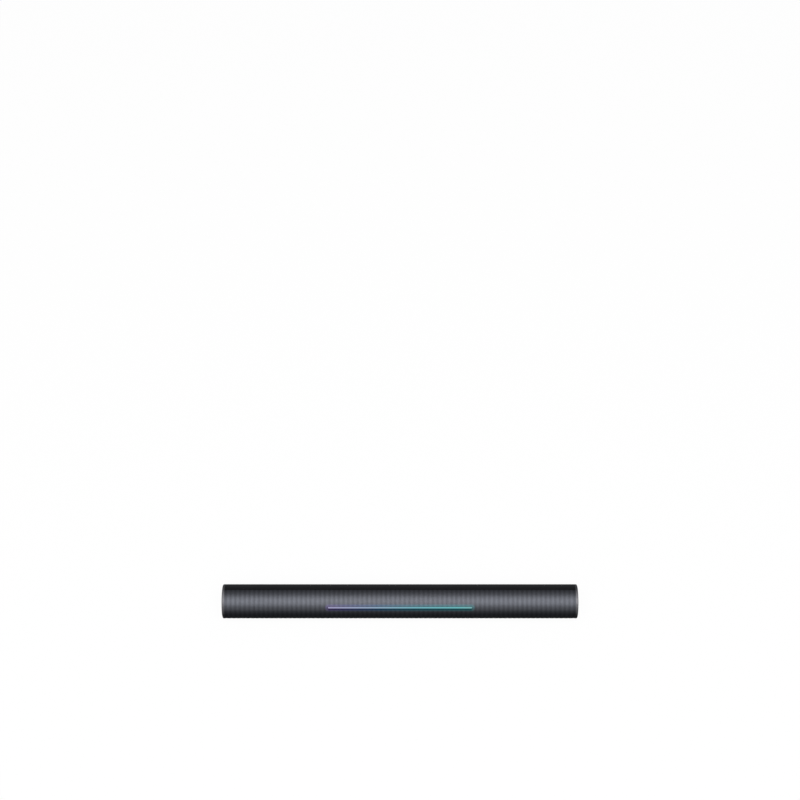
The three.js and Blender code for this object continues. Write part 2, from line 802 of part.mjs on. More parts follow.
function magnetYoke() {
  const floorTop = yokeTop - yokeDepth + yokeFloor;
  const gap = coilRadius + coilClearance;
  const bore = gap + boreStep;
  return turned([
    [0, floorTop],
    [bore, floorTop],
    [bore, yokeTop - topPlate],
    [gap, yokeTop - topPlate],
    [gap, yokeTop],
    [yokeRadius, yokeTop],
    [yokeRadius, yokeTop - yokeDepth],
    [0, yokeTop - yokeDepth],
  ]);
}

// The disc magnet with the pole plate on it, inside the yoke
function magnetCore() {
  const pole = coilRadius - coilWall - coilClearance;
  const bottom = yokeTop - yokeDepth + yokeFloor + layerGap;
  return turned([
    [0, bottom],
    [pole - poleStep, bottom],
    [pole - poleStep, yokeTop - topPlate],
    [pole, yokeTop - topPlate],
    [pole, yokeTop],
    [0, yokeTop],
  ]);
}

function addSpeaker(side, name) {
  add(bar, `${name}_speaker_box`, speakerBox(side), "plastic");
  add(bar, `${name}_baffle`, baffle(side), "plastic");
  const driver = lookingOut(speakerAngle, side * speakerPlace);
  add(driver, `${name}_driver_gasket`, driverGasket(), "foam");
  add(driver, `${name}_driver_basket`, driverBasket(), "steel");
  add(driver, `${name}_driver_surround`, driverSurround(), "rubber");
  add(driver, `${name}_driver_cone`, driverCone(), "cone");
  add(driver, `${name}_driver_spider`, driverSpider(), "film");
  add(driver, `${name}_magnet_yoke`, magnetYoke(), "steel");
  add(driver, `${name}_magnet_core`, magnetCore(), "steel");
  baffleScrewSpots().forEach(([x, y], i) => {
    const seat = baffleTop + layerGap;
    const piece = add(driver, `${name}_baffle_screw_${i + 1}`, screwBody(baffleScrew), "steel");
    piece.position.set(x, y, seat);
  });
}

// Steel plate with standoffs for the boards. It also weighs the bar down.
const plateTop = innerFloor + plateThickness;
const boardBottom = plateTop + standoffHeight + seatGap;
const standoffSpots = [boardStart + standoffInset, boardEnd - standoffInset].flatMap((x) => [
  [x, -standoffRow],
  [x, standoffRow],
]);

function basePlate() {
  const outline = roundedRectangle(2 * plateHalfLength, 2 * plateHalfWidth, plateCorner);
  const standoffs = [-1, 1].flatMap((side) =>
    standoffSpots.map(([x, y]) =>
      post(standoffRadius, side * x, y, plateTop - plateThickness / 3, plateTop + standoffHeight, 6),
    ),
  );
  const holes = coverScrewPlaces
    .filter((x) => Math.abs(x) < plateHalfLength)
    .map((x) => post(coverScrew.shank + screwClearance, x, 0, -far, far));
  for (const side of [-1, 1]) {
    const [x, y] = bracketScrewPlaces;
    holes.push(post(bracketScrew.shank + screwClearance, side * x, y, -far, far));
  }
  return cut(join(upright(outline, innerFloor, plateTop, 4), ...standoffs), ...holes);
}

// A circuit board with its larger parts: [start, length, y from, y to, height], where the start is
// from the board's inner end. The connector for the speaker's lead is at the board's outer end.
function circuitBoard(side, parts) {
  const top = boardBottom + boardThickness;
  const piece = (x0, x1, y0, y1, z0, z1) => {
    const [a, b] = [side * x0, side * x1];
    return block(Math.min(a, b), Math.max(a, b), y0, y1, z0, z1);
  };
  const w = boardHalfWidth;
  const board = piece(boardStart, boardEnd, -w, w, boardBottom, top);
  const middle = boardBottom + boardThickness / 2;
  const soldered = parts.map(([start, length, y0, y1, height]) => {
    const x0 = boardStart + start;
    return piece(x0, x0 + length, y0, y1, middle, top + height);
  });
  const { length, width, height } = leadSocket;
  const y0 = leadEntry.y - width / 2;
  const socket = piece(boardEnd - length, boardEnd, y0, y0 + width, middle, top + height);
  return join(board, ...soldered, socket);
}

// Bracket: a flat pad at the back, and a foot on the steel plate
function neckBracket() {
  const half = bracketWidth / 2;
  const footBottom = plateTop + seatGap;
  const wallFront = barRadius - bracketWall;
  const profile = polygon([
    [barRadius, bracketBottom],
    [barRadius, bracketTop],
    [wallFront, bracketTop],
    [wallFront, footBottom + bracketFoot],
    [bracketFootFront, footBottom + bracketFoot],
    [bracketFootFront, footBottom],
    [wallFront, footBottom],
    [wallFront, bracketBottom],
  ]);
  const tools = [-1, 1].map((side) => {
    const hole = post(columnHoleRadius, 0, 0, -far, far).rotateX(Math.PI / 2);
    return hole.translate(side * columnHolePlace, 0, connectorMiddle);
  });
  for (const side of [-1, 1]) {
    const [x, y] = bracketScrewPlaces;
    tools.push(post(bracketScrew.shank + screwClearance, side * x, y, -far, far));
  }
  const [w, h] = [connectorWidth / 2 + seatGap, connectorHeight / 2 + seatGap];
  tools.push(block(-w, w, 0, far, connectorMiddle - h, connectorMiddle + h));
  return cut(alongBar(profile, -half, half), ...tools);
}

// Contact block in the bracket's middle, a little behind the pad's face
const connectorFront = barRadius - bracketWall - connectorOverhang;

function neckConnector() {
  const [w, h] = [connectorWidth / 2, connectorHeight / 2];
  const face = barRadius - connectorSetback;
  const [low, high] = [connectorMiddle - h, connectorMiddle + h];
  const { count, pitch, width, inset, length, proud } = contactPin;
  const body = block(-w, w, connectorFront, face - proud, low, high);
  const contacts = [];
  for (let i = 0; i < count; i++) {
    const [x, half] = [(i - (count - 1) / 2) * pitch, width / 2];
    contacts.push(block(x - half, x + half, face - length, face, low + inset, high - inset));
  }
  return join(body, ...contacts);
}

// A speaker lead from the board's edge through the box's end wall to the driver
function speakerLead(side) {
  const [inner, outer] = [boardEnd + seatGap, speakerPlace - coneStraight - bowlRadius - 2];
  const height = 5; // the driver's terminal, along the driver's axis
  const end = new THREE.Vector3(0, 0, height).applyAxisAngle(
    new THREE.Vector3(1, 0, 0),
    tiltOf(speakerAngle),
  );
  const route = new THREE.CatmullRomCurve3([
    new THREE.Vector3(side * inner, leadEntry.y, leadEntry.z),
    new THREE.Vector3(side * (boxStart - 1), leadEntry.y, leadEntry.z),
    new THREE.Vector3(side * (boxStart + 4), leadEntry.y, leadEntry.z),
    new THREE.Vector3(side * (boxStart + 14), (leadEntry.y + end.y) / 2, 1),
    new THREE.Vector3(side * outer, end.y, end.z),
  ]);
  const options = { steps: 10, extrudePath: route, curveSegments: 3 };
  return new THREE.ExtrudeGeometry(circle(leadRadius), options);
}

// The lead that joins both circuit boards and passes the back of the contact block
function contactLead() {
  const edge = boardStart - seatGap;
  const level = boardBottom + boardThickness / 2;
  const front = connectorFront - seatGap - leadRadius;
  const half = [
    [edge, contactLeadRow, level],
    [(edge + connectorWidth / 2) / 2, contactLeadRow, level],
    [connectorWidth / 2, (contactLeadRow + front) / 2, (level + connectorMiddle) / 2],
  ];
  const points = (side) => half.map(([x, y, z]) => new THREE.Vector3(side * x, y, z));
  const middle = new THREE.Vector3(0, front, connectorMiddle);
  const route = new THREE.CatmullRomCurve3([...points(-1), middle, ...points(1).reverse()]);
  const options = { steps: 16, extrudePath: route, curveSegments: 3 };
  return new THREE.ExtrudeGeometry(circle(leadRadius), options);
}

// The light board's flat cable, down to its socket on the left circuit board
function stripCable() {
  const x = -(boardStart + cableSocket.start + cable.width / 2);
  const out = new THREE.Vector3(0, -Math.cos(radians(stripAngle)), Math.sin(radians(stripAngle)));
  const start = stripBoardTop - stripBoardThickness - seatGap;
  const end = boardBottom + boardThickness + cableSocket.height + seatGap;
  const route = new THREE.CatmullRomCurve3([
    out.clone().multiplyScalar(start).setX(x),
    out.clone().multiplyScalar(start - cable.straight).setX(x),
    new THREE.Vector3(x, cableSocket.row, end + cable.straight),
    new THREE.Vector3(x, cableSocket.row, end),
  ]);
  const [w, t] = [cable.width / 2, cable.thickness / 2];
  const band = polygon([[-w, -t], [w, -t], [w, t], [-w, t]]);
  return new THREE.ExtrudeGeometry(band, { steps: 10, extrudePath: route });
}

add(bar, "front_grille", ribbedGrille(), "grille");
add(bar, "rear_housing", rearHousing(), "housing");
add(bar, "front_frame", frontFrame(), "plastic");
add(bar, "base_cover", baseCover(), "housing");
footPlaces.forEach((x, i) => {
  add(bar, `foot_${i + 1}`, foot(), "rubber").position.x = x;
});
for (const [side, name] of [[-1, "left"], [1, "right"]]) {
  const end = new THREE.Group();
  end.rotation.z = side < 0 ? Math.PI : 0;
  bar.add(end);
  add(end, `${name}_end_rim`, endRim(), "rim");
  add(end, `${name}_end_cap`, endCap(), "cap");
}
addLightStrip();
addSpeaker(-1, "left");
addSpeaker(1, "right");

add(bar, "steel_plate", basePlate(), "steel");
const { start, row, depth, height } = cableSocket;
const leftParts = [
  [start, cable.width, row - depth / 2, row + depth / 2, height],
  [6, 12, -5, 5, 1.2],
  [24, 8, -7, 1, 3.5],
  [36, 12, -4, 6, 1.4],
];
const rightParts = [
  [4, 10, -7, 3, 1.4],
  [20, 6, -8, -2, 4],
  [28, 6, -8, -2, 4],
  [38, 12, -3, 7, 1.2],
];
add(bar, "left_circuit_board", circuitBoard(-1, leftParts), "board");
add(bar, "right_circuit_board", circuitBoard(1, rightParts), "board");
add(bar, "neck_bracket", neckBracket(), "steel");
add(bar, "neck_connector", neckConnector(), "contact");
add(bar, "contact_lead", contactLead(), "lead");
add(bar, "strip_cable", stripCable(), "film");
for (const [side, name] of [[-1, "left"], [1, "right"]]) {
  const [x, y] = bracketScrewPlaces;
  const piece = add(bar, `${name}_bracket_screw`, screwBody(bracketScrew), "steel");
  piece.position.set(side * x, y, plateTop + 2 * seatGap + bracketFoot);
  add(bar, `${name}_speaker_lead`, speakerLead(side), "lead");
}
coverScrewPlaces.forEach((x, i) => {
  const piece = add(bar, `cover_screw_${i + 1}`, socketScrew(coverScrew), "steel");
  piece.rotation.x = Math.PI;
  piece.position.set(x, 0, coverScrewSeat);
});

export default root;
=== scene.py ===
"""A round speaker and light bar on rubber feet: ribbed dark grille over the front and top, smooth
rear housing, brighter metal rims at both ends and a thin strip of light that goes from lilac to teal.

Metres. X runs along the bar, the front faces -Y and +Z is up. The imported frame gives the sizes.
Angles go round the bar in degrees: 0 is the front, 90 the top, 180 the back and 270 the underside.
"""

import math

import bmesh
import bpy
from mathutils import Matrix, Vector

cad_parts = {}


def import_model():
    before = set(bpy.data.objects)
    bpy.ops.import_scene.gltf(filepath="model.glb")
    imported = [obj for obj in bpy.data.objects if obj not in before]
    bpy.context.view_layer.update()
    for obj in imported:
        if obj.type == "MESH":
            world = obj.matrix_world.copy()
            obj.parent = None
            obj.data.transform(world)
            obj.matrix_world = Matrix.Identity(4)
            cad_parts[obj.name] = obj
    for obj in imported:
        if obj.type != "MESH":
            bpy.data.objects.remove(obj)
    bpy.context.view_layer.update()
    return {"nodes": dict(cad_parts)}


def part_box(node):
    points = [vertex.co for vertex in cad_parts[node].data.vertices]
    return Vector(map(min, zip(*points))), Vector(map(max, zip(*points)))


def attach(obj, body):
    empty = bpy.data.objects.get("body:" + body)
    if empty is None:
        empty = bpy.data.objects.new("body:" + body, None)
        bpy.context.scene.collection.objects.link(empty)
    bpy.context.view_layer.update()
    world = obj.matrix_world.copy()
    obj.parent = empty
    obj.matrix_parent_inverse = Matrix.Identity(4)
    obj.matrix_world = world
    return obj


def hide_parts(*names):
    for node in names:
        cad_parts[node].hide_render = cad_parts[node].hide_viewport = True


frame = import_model()

MM = 0.001

# Sizes that the frame gives
rim_low, rim_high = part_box("right_end_rim")
lens_low, lens_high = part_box("strip_lens")
RADIUS = (rim_high.y - rim_low.y) / 2
AXIS = rim_high.z - RADIUS
UNDERSIDE = rim_low.z
BAR_END = rim_high.x
SHELL_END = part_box("front_grille")[1].x
STRIP_LENGTH = lens_high.x - lens_low.x
THROUGH = 2 * RADIUS  # a cut this deep passes every piece

# Gap round a piece that sits in another
SEAT_GAP = 0.3 * MM

# Grille and housing
GRILLE_FROM = -45
GRILLE_TO = 106
GRILLE_INSIDE = RADIUS - 1.1 * MM
HOUSING_FROM = 107
HOUSING_TO = 225
HOUSING_INSIDE = RADIUS - 1.8 * MM
RIB_PITCH = 5.78 * MM
RIB_HEIGHT = 0.2 * MM
RIB_COUNT = 74
RIBS_END = RIB_COUNT * RIB_PITCH / 2

# End rims and caps
RIM_SEAM = 0.1 * MM
RIM_DEPTH = 2.4 * MM  # from the outside inwards
RIM_ROUND = 1.4 * MM
CAP_THICKNESS = 2.6 * MM

# Base cover, feet and screws
COVER_THICKNESS = 2.6 * MM
COVER_LIP = 1.3 * MM
COVER_FLAT = 13 * MM  # half its width
FOOT_CORNER = 4 * MM
FOOT_RECESS = 0.8 * MM
SCREW_HEAD = 1.4 * MM
SCREW_SHANK = 1.2 * MM
SCREW_SIDES = 24
feet = [f"foot_{i}" for i in range(1, 5)]
cover_screws = [f"cover_screw_{i}" for i in range(1, 7)]

# Bracket with the pad at the back
BRACKET_WALL = 6 * MM
BRACKET_FOOT = 3.5 * MM
PLATE_THICKNESS = 3 * MM  # of the steel plate that it stands on
THREAD_RADIUS = 1.65 * MM
THREAD_PLACE = 11.5 * MM  # on both sides of the middle

# Light strip
STRIP_ANGLE = 42
STRIP_HEIGHT = 2 * MM
BEZEL_WALL = 0.35 * MM
BEZEL_GAP = 0.15 * MM
LENS_FACE = RADIUS - 0.1 * MM
LENS_DEPTH = 2.35 * MM

# Light of the strip: places from -1 at its left end to 1 at its right end, and colours
STRIP_LIGHT = (
    (-1.0, (0.32, 0.29, 0.49)),
    (-0.4, (0.25, 0.345, 0.49)),
    (0.2, (0.137, 0.4, 0.47)),
    (0.8, (0.115, 0.445, 0.47)),
    (1.0, (0.155, 0.41, 0.42)),
)
LENS_LOW = 0.7  # share of the light along the lens's lower edge
# Painted glow of the strip's light on the mesh round it
PAINTED_GLOW_FROM = 2.8 * MM
PAINTED_GLOW_TO = 5.3 * MM
PAINTED_GLOW_ABOVE = 0.24
PAINTED_GLOW_BELOW = 0.13
PAINTED_GLOW_HUE = 0.51
PAINTED_GLOW_SATURATION = 1.9
# Painted shade on the mesh along the strip's lower side
LIP_FROM = 2.4 * MM
LIP_TO = 4.4 * MM
LIP_PAINTED_SHADE = 0.15

# Painted light and shade round the bar: degrees, and the share of the written colour there
# The mesh: a painted highlight high on the front, painted shade towards the lower front and the upper
# seam
MESH_PAINTED_LIGHT = (
    (12, 0.14),
    (20, 0.19),
    (28, 0.31),
    (36, 0.61),
    (43, 0.75),
    (54, 0.95),
    (66, 0.99),
    (80, 0.94),
    (93, 0.79),
    (105, 0.52),
)
# The rims: a painted highlight high on the front, painted shade past the top, at the back, the lower
# front and the underside
RIM_PAINTED_LIGHT = (
    (12, 0.09),
    (36, 0.43),
    (66, 0.82),
    (88, 0.86),
    (100, 0.71),
    (112, 0.35),
    (195, 0.33),
    (270, 0.09),
)
# The housing: painted shade beside the mesh and towards the underside
HOUSING_PAINTED_SHADE = ((118, 0.75), (130, 1.0), (225, 1.0), (270, 0.75))

# Mesh and metals
MESH_COLOUR = (0.116, 0.1214, 0.139)
HOLE_COLOUR = (0.056, 0.0586, 0.0686)
HOLE_ROW_PITCH = 0.9 * MM
HOLES_PER_RIB = 6
RIB_PAINTED_SHADE = 0.12  # crests get a painted highlight brighter by this share, valleys painted shade darker by it
EDGE_TINT = (0.45, 0.45, 0.45, 1)  # of a dark metal seen along its surface
GRAIN_STRENGTH = 0.12
GRAIN_DEPTH = 0.02 * MM
GLOSS_CHANGE = 0.04

# Noise scales: about this many blotches or grains in a metre
COARSE = 25
MOTTLED = 40
WOVEN = 900
GRAINED = 1500
BLASTED = 3000

# Camera: the bar lies low in the photograph, so the camera looks over it
CAMERA_LENS = 78.5
SENSOR = 36
CAMERA_IN_FRONT = 0.9369
CAMERA_ABOVE = 1.962
CAMERA_DOWN = 57.893

# Floor, world and light
FLOOR_RADIUS = 5.0
FLOOR_BEND = 1.0
BACKDROP = 0.3
FLOOR_COLOUR = (0.95, 0.95, 0.95, 1)
FLOOR_WHITE = 0.95  # share of plain white that the camera and reflections see
WORLD_COLOUR = (0.35, 0.35, 0.36, 1)
KEY_ELEVATION = 65.4
KEY_DISTANCE = 2.6
KEY_WIDTH = 2.6
KEY_HEIGHT = 2.7
KEY_POWER = 10.0  # watts in each square metre of the light


# Mesh helpers


def link(name, data):
    obj = bpy.data.objects.new(name, data)
    bpy.context.scene.collection.objects.link(obj)
    return obj


def mesh_from(name, points, faces):
    mesh = bpy.data.meshes.new(name)
    mesh.from_pydata([tuple(p) for p in points], [], faces)
    mesh.validate()
    return mesh


def facing_out(obj):
    """Makes the faces of a closed mesh look out."""
    shape = bmesh.new()
    shape.from_mesh(obj.data)
    bmesh.ops.recalc_face_normals(shape, faces=shape.faces)
    shape.to_mesh(obj.data)
    shape.free()
    return obj


def through_rings(name, rings, close_ends):
    """A surface through rings of points. The end rings are filled, or the last joins the first."""
    size = len(rings[0])
    points = [p for ring in rings for p in ring]
    faces = []
    pairs = len(rings) - 1 if close_ends else len(rings)
    for i in range(pairs):
        here = i * size
        following = ((i + 1) % len(rings)) * size
        for k in range(size):
            n = (k + 1) % size
            faces.append((here + k, here + n, following + n, following + k))
    if close_ends:
        faces.append(tuple(range(size)))
        faces.append(tuple(range(len(points) - size, len(points))))
    return facing_out(link(name, mesh_from(name, points, faces)))


def placed(loops, place):
    """Rings of points from pairs of an outline and its depth."""
    return [[place(u, v, depth) for u, v in outline] for outline, depth in loops]


def prism(name, outline, depth_from, depth_to, place):
    """A closed outline drawn out between two depths. place puts (u, v, depth) in the bar's frame."""
    return through_rings(name, placed([(outline, depth_from), (outline, depth_to)], place), True)


def modifier(obj, kind, **settings):
    made = obj.modifiers.new(kind.lower(), kind)
    for key, value in settings.items():
        setattr(made, key, value)


def baked(obj):
    """Applies the modifiers of a piece."""
    graph = bpy.context.evaluated_depsgraph_get()
    mesh = bpy.data.meshes.new_from_object(obj.evaluated_get(graph))
    obj.modifiers.clear()
    obj.data = mesh
    return obj


def carved(obj, *tools):
    """Cuts tools out of a piece, and removes them."""
    for tool in tools:
        modifier(obj, "BOOLEAN", operation="DIFFERENCE", solver="EXACT", object=tool)
        baked(obj)
        bpy.data.objects.remove(tool)
    return obj


def rounded_edges(obj, width, segments=2):
    modifier(
        obj,
        "BEVEL",
        width=width,
        segments=segments,
        limit_method="ANGLE",
        angle_limit=math.radians(30),
        use_clamp_overlap=True,
    )
    return baked(obj)


def smooth(obj, angle=35):
    """Smooth shading, with sharp edges where the faces meet at more than the angle."""
    obj.data.shade_smooth()
    obj.data.set_sharp_from_angle(angle=math.radians(angle))
    return obj


def smooth_with_flats(obj):
    """Smooth shading in which rounded edges don't bend the light on the flat faces beside them."""
    smooth(obj)
    modifier(obj, "WEIGHTED_NORMAL", keep_sharp=True, weight=100)
    return baked(obj)


# Outlines


def spread(start, end, steps):
    """Evenly spaced numbers from start to end, both included."""
    return [start + (end - start) * k / steps for k in range(steps + 1)]


def arc(radius, start, end, steps, centre=(0, 0)):
    """Points on an arc, in degrees."""
    points = []
    for degrees in spread(start, end, steps):
        turn = math.radians(degrees)
        points.append((centre[0] + radius * math.cos(turn), centre[1] + radius * math.sin(turn)))
    return points


def polygon(radius, sides):
    """A regular outline: round with many sides, or a screw's socket with six."""
    return arc(radius, 0, 360 - 360 / sides, sides - 1)


def oval(length, width, steps=16):
    """Straight sides and round ends."""
    half = (length - width) / 2
    right = arc(width / 2, -90, 90, steps, (half, 0))
    return right + arc(width / 2, 90, 270, steps, (-half, 0))


def rounded_rectangle(length, width, corner, steps=8):
    x, y = length / 2 - corner, width / 2 - corner
    points = []
    for start, centre in ((0, (x, y)), (90, (-x, y)), (180, (-x, -y)), (270, (x, -y))):
        points += arc(corner, start, start + 90, steps, centre)
    return points


def fillet(radius, step, start=0):
    """A rounded edge, by steps in degrees: how far in it is from one face and from the other."""
    turns = [math.radians(degrees) for degrees in range(start, 91, step)]
    return [(radius * (1 - math.sin(turn)), radius * (1 - math.cos(turn))) for turn in turns]


def bar_outline(x, inset):
    """The bar's round outline with its flat underside, drawn in by an inset."""
    radius = RADIUS - inset
    flat = AXIS - UNDERSIDE - inset
    corner = math.degrees(math.asin(flat / radius))
    return [Vector((x, y, AXIS + z)) for y, z in arc(radius, -corner, 180 + corner, 96)]


def mirrored(rings, side):
    """The right end's rings for side 1, or their mirror image at the left end for side -1."""
    return [[Vector((side * p.x, p.y, p.z)) for p in ring] for ring in rings]


# Places


def on_bar(x, radius, angle):
    """The point at this radius and angle round the bar's axis."""
    turn = math.radians(angle)
    return Vector((x, -radius * math.cos(turn), AXIS + radius * math.sin(turn)))


def outwards(angle):
    """Places (u, v, depth) with u along the bar and the depth out of its axis at an angle."""
    out = on_bar(0, 1, angle) - on_bar(0, 0, angle)
    across = out.cross(Vector((1, 0, 0)))

    def place(u, v, depth):
        return Vector((u, 0, AXIS)) + across * v + out * depth

    return place


def upwards(x0, y0=0.0):
    """Places (u, v, depth) with u along the bar, v to the back and the depth up from the floor."""

    def place(u, v, depth):
        return Vector((x0 + u, y0 + v, depth))

    return place


def backwards(x0, z0):
    """Places (u, v, depth) with u along the bar, v up and the depth to the back."""

    def place(u, v, depth):
        return Vector((x0 + u, depth, z0 + v))

    return place


def along_bar(u, v, depth):
    """Places a cross-section whose u is to the back and v is above the bar's axis."""
    return Vector((depth, u, AXIS + v))


def middle_and_size(node):
    """The middle and the size of a node's box."""
    low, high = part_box(node)
    return (low + high) / 2, high - low


# Pieces of the outside


def rib_radius(x):
    """Rounded ribs side by side: the surface is highest in the middle of each."""
    if abs(x) > RIBS_END:
        return RADIUS - RIB_HEIGHT
    from_crest = (x / RIB_PITCH) % 1 - 0.5
    return RADIUS - RIB_HEIGHT * (2 * from_crest) ** 2


def front_grille():
    steps_per_rib = 8
    half_way = (SHELL_END + RIBS_END) / 2
    ribs = spread(-RIBS_END, RIBS_END, RIB_COUNT * steps_per_rib)
    angles = spread(GRILLE_FROM, GRILLE_TO, 76)
    rings = []
    for x in [-SHELL_END, -half_way, *ribs, half_way, SHELL_END]:
        outer = [on_bar(x, rib_radius(x), angle) for angle in angles]
        inner = [on_bar(x, GRILLE_INSIDE, angle) for angle in reversed(angles)]
        rings.append(outer + inner)
    piece = through_rings("grille_skin", rings, True)
    edge = 2 * (2 * BEZEL_GAP + BEZEL_WALL)
    outline = oval(STRIP_LENGTH + edge, STRIP_HEIGHT + edge)
    carved(piece, prism("slot", outline, RADIUS / 2, THROUGH, outwards(STRIP_ANGLE)))
    return smooth(piece, 60)


def rear_housing():
    angles = spread(HOUSING_FROM, HOUSING_TO, 59)
    outer = [on_bar(0, RADIUS, angle) for angle in angles]
    inner = [on_bar(0, HOUSING_INSIDE, angle) for angle in reversed(angles)]
    outline = [(p.y, p.z - AXIS) for p in outer + inner]
    piece = prism("housing_shell", outline, -SHELL_END, SHELL_END, along_bar)
    middle, size = middle_and_size("neck_bracket")
    window = rounded_rectangle(size.x + 2 * SEAT_GAP, size.z + 2 * SEAT_GAP, 1.2 * MM)
    carved(piece, prism("window", window, 0, THROUGH, backwards(0, middle.z)))
    rounded_edges(piece, 0.3 * MM, 3)
    return smooth_with_flats(piece)


def end_rim(side, name):
    start = SHELL_END + RIM_SEAM
    edge = 0.08 * MM
    inner_round = 0.3 * MM
    rings = [bar_outline(start, edge), bar_outline(start + edge, 0)]
    for short, inset in fillet(RIM_ROUND, 15):
        rings.append(bar_outline(BAR_END - short, inset))
    for short, inset in fillet(inner_round, 30):
        rings.append(bar_outline(BAR_END - inset, RIM_DEPTH - short))
    rings.append(bar_outline(start, RIM_DEPTH))
    return smooth(through_rings(f"{name}_rim_ring", mirrored(rings, side), False), 50)


def end_cap(side, name):
    low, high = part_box(f"{name}_end_cap")
    face = max(abs(low.x), abs(high.x))
    inset = RIM_DEPTH + SEAT_GAP
    edge = 0.25 * MM
    groove = 5 * MM
    groove_side = 0.2 * MM
    groove_end = groove + 0.8 * MM
    floor_level = face - 0.25 * MM
    rings = [
        bar_outline(face - CAP_THICKNESS, inset),
        bar_outline(face - edge, inset),
        bar_outline(face, inset + edge),
        bar_outline(face, groove),
        bar_outline(floor_level, groove + groove_side),
        bar_outline(floor_level, groove_end - groove_side),
        bar_outline(face, groove_end),
    ]
    return smooth(through_rings(f"{name}_cap_plate", mirrored(rings, side), True), 20)


def base_cover():
    bottom = UNDERSIDE - AXIS
    lip_top = bottom + COVER_LIP
    lip_width = math.sqrt(RADIUS**2 - lip_top**2)
    side = [
        (COVER_FLAT, bottom),
        (lip_width, lip_top),
        (COVER_FLAT, lip_top),
        (COVER_FLAT, bottom + COVER_THICKNESS),
    ]
    outline = side + [(-u, v) for u, v in reversed(side)]
    piece = prism("base_plate_cover", outline, -SHELL_END, SHELL_END, along_bar)
    tools = []
    for node in feet:
        middle, size = middle_and_size(node)
        recess = rounded_rectangle(size.x + 2 * SEAT_GAP, size.y + 2 * SEAT_GAP, FOOT_CORNER)
        tools.append(prism("recess", recess, 0, UNDERSIDE + FOOT_RECESS, upwards(middle.x)))
    for node in cover_screws:
        middle, size = middle_and_size(node)
        head_hole = polygon(size.x / 2 + SEAT_GAP, SCREW_SIDES)
        shank_hole = polygon(SCREW_SHANK + SEAT_GAP, SCREW_SIDES)
        tools.append(prism("bore", head_hole, 0, UNDERSIDE + SCREW_HEAD, upwards(middle.x)))
        tools.append(prism("bore", shank_hole, 0, THROUGH, upwards(middle.x)))
    carved(piece, *tools)
    rounded_edges(piece, 0.15 * MM)
    return smooth_with_flats(piece)


def foot(i, node):
    low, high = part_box(node)
    middle, size = middle_and_size(node)
    loops = []
    for inset, rise in fillet(0.5 * MM, 18):
        outline = rounded_rectangle(size.x - 2 * inset, size.y - 2 * inset, FOOT_CORNER - inset)
        loops.append((outline, low.z + rise))
    loops.append((rounded_rectangle(size.x, size.y, FOOT_CORNER), high.z))
    rings = placed(loops, upwards(middle.x, middle.y))
    return smooth(through_rings(f"foot_pad_{i}", rings, True), 50)


def cover_screw(i, node):
    low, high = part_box(node)
    middle, size = middle_and_size(node)
    head = size.x / 2
    seat = low.z + SCREW_HEAD
    dome = 0.35 * MM
    socket_depth = 0.6 * MM
    profile = [
        (head * 0.8, low.z),
        (head, low.z + dome),
        (head, seat),
        (SCREW_SHANK, seat),
        (SCREW_SHANK, high.z),
    ]
    place = upwards(middle.x)
    rings = placed([(polygon(radius, SCREW_SIDES), z) for radius, z in profile], place)
    piece = through_rings(f"cover_screw_head_{i}", rings, True)
    carved(piece, prism("drive", polygon(head / 2, 6), low.z - MM, low.z + socket_depth, place))
    return smooth(piece)


def strip_bezel():
    """The dark frame round the lens, on a flange behind the grille. Depths are from the bar's axis."""
    height = STRIP_HEIGHT + 2 * (BEZEL_GAP + BEZEL_WALL)
    length = STRIP_LENGTH + 2 * (BEZEL_GAP + BEZEL_WALL)
    flange_width = 8.4 * MM
    flange_bottom = 16.3 * MM
    flange_top = 17.5 * MM
    face = LENS_FACE - BEZEL_GAP
    edge = 0.12 * MM
    wide = oval(length + flange_width - height, flange_width)
    wall = oval(length, height)
    wall_top = oval(length - 2 * edge, height - 2 * edge)
    hole = oval(STRIP_LENGTH + 2 * BEZEL_GAP, STRIP_HEIGHT + 2 * BEZEL_GAP)
    loops = [
        (wide, flange_bottom),
        (wide, flange_top),
        (wall, flange_top),
        (wall, face - edge),
        (wall_top, face),
        (hole, face),
        (hole, flange_bottom),
    ]
    return smooth(through_rings("bezel_frame", placed(loops, outwards(STRIP_ANGLE)), False), 40)


def strip_lens():
    """A bar with round ends and a slightly crowned face."""
    half_length, half_height = STRIP_LENGTH / 2, STRIP_HEIGHT / 2
    crown = 0.1 * MM
    section = [(t, LENS_FACE - crown * t * t) for t in spread(-1, 1, 8)]
    section = [(-1, LENS_FACE - LENS_DEPTH), *section, (1, LENS_FACE - LENS_DEPTH)]
    ends = [(inset, half_height - short) for short, inset in fillet(half_height, 16, 10)]
    left = [(inset - half_length, half) for inset, half in ends]
    right = [(half_length - inset, half) for inset, half in reversed(ends)]
    columns = spread(-half_length, half_length, 60)
    straight = [(x, half_height) for x in columns if abs(x) <= half_length - half_height]
    place = outwards(STRIP_ANGLE)
    rings = [[place(x, t * half, depth) for t, depth in section] for x, half in left + straight + right]
    return smooth(through_rings("lens_glow", rings, True), 40)


